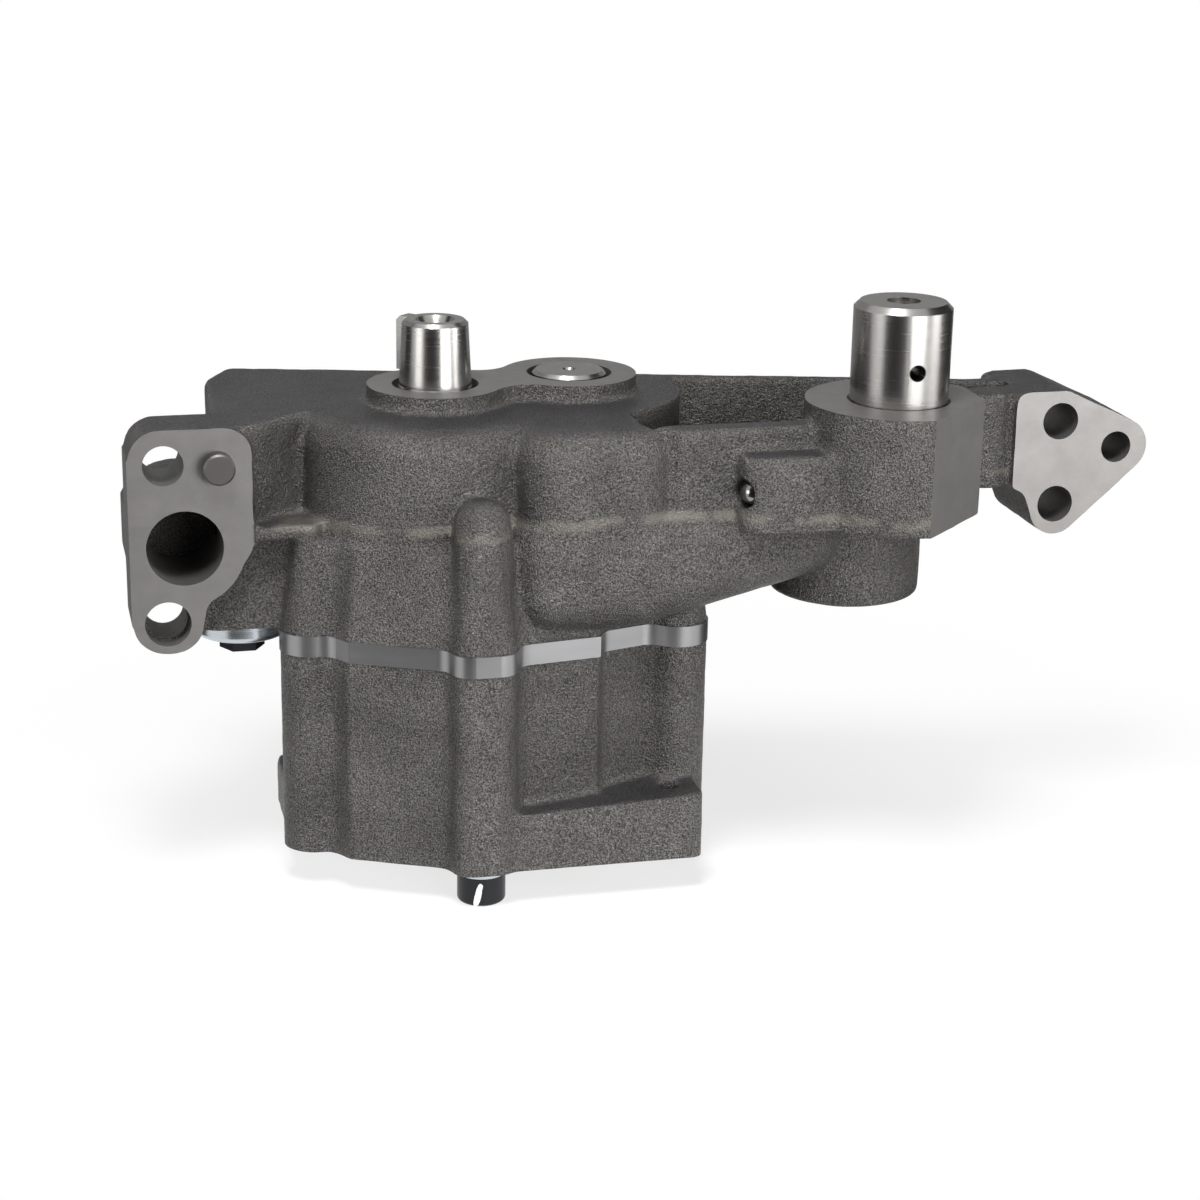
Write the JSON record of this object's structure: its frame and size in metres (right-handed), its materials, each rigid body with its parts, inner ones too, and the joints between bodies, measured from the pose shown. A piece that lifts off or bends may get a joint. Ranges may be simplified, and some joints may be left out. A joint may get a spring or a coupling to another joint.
{
  "type": "engine oil pump",
  "caption": "Gear-type engine oil pump: two iron castings with a plate between them, tapered drive shaft, idler gear pin and two flanged feet.",
  "frame": {"origin": "on the drive shaft axis, in the machined gear face of the body", "axes": "+X along the mounting plane towards the idler pin, -Y out of the mounting plane, +Z along the shafts towards the drive gear"},
  "size_m": [0.351, 0.1492, 0.1945],
  "materials": {
    "cast_iron": "as cast, shot blasted, oiled",
    "ground_steel": "ground",
    "turned_steel": "turned and polished",
    "dark_steel": "dull",
    "zinc_plate": "zinc plated",
    "black_oxide": "black oxide",
    "bronze": "bored"
  },
  "bodies": {
    "casing": {"pump_body": "cast_iron", "gear_housing": "cast_iron", "wear_plate": "ground_steel", "idler_pin": "turned_steel", "idler_pin_plug": "dark_steel", "flange_dowel": "dark_steel", "oil_hole_ball": "turned_steel", "drive_bushing_body": "bronze", "driven_bushing_body": "bronze", "drive_bushing_housing": "bronze", "driven_bushing_housing": "bronze", "relief_cap": "zinc_plate", "relief_guide_bolt": "black_oxide", "relief_spring": "dark_steel", "housing_screws": "black_oxide", "screw_washers": "zinc_plate", "housing_dowels": "dark_steel"},
    "drive": {"drive_shaft": "turned_steel", "drive_gear": "ground_steel", "shaft_key": "turned_steel"},
    "driven": {"driven_shaft": "turned_steel", "driven_gear": "ground_steel"},
    "relief_valve": {"relief_plunger": "ground_steel"}
  },
  "joints": [
    {"name": "drive_spin", "type": "hinge", "parent": "casing", "child": "drive", "pos_m": [0, 0, 0], "axis": [0, 0, 1], "continuous": true},
    {"name": "driven_spin", "type": "hinge", "parent": "casing", "child": "driven", "pos_m": [0.04759, 0.00985, 0], "axis": [0, 0, 1], "continuous": true},
    {"name": "relief_slide", "type": "slide", "parent": "casing", "child": "relief_valve", "axis": [0, 0, -1], "range_m": [0, 0.004], "stiffness_N_per_m": 4000, "springref_m": -0.001, "deforming": ["relief_spring"]}
  ],
  "couplings": [
    {"joint": "driven_spin", "follows": "drive_spin", "ratio": -1}
  ]
}
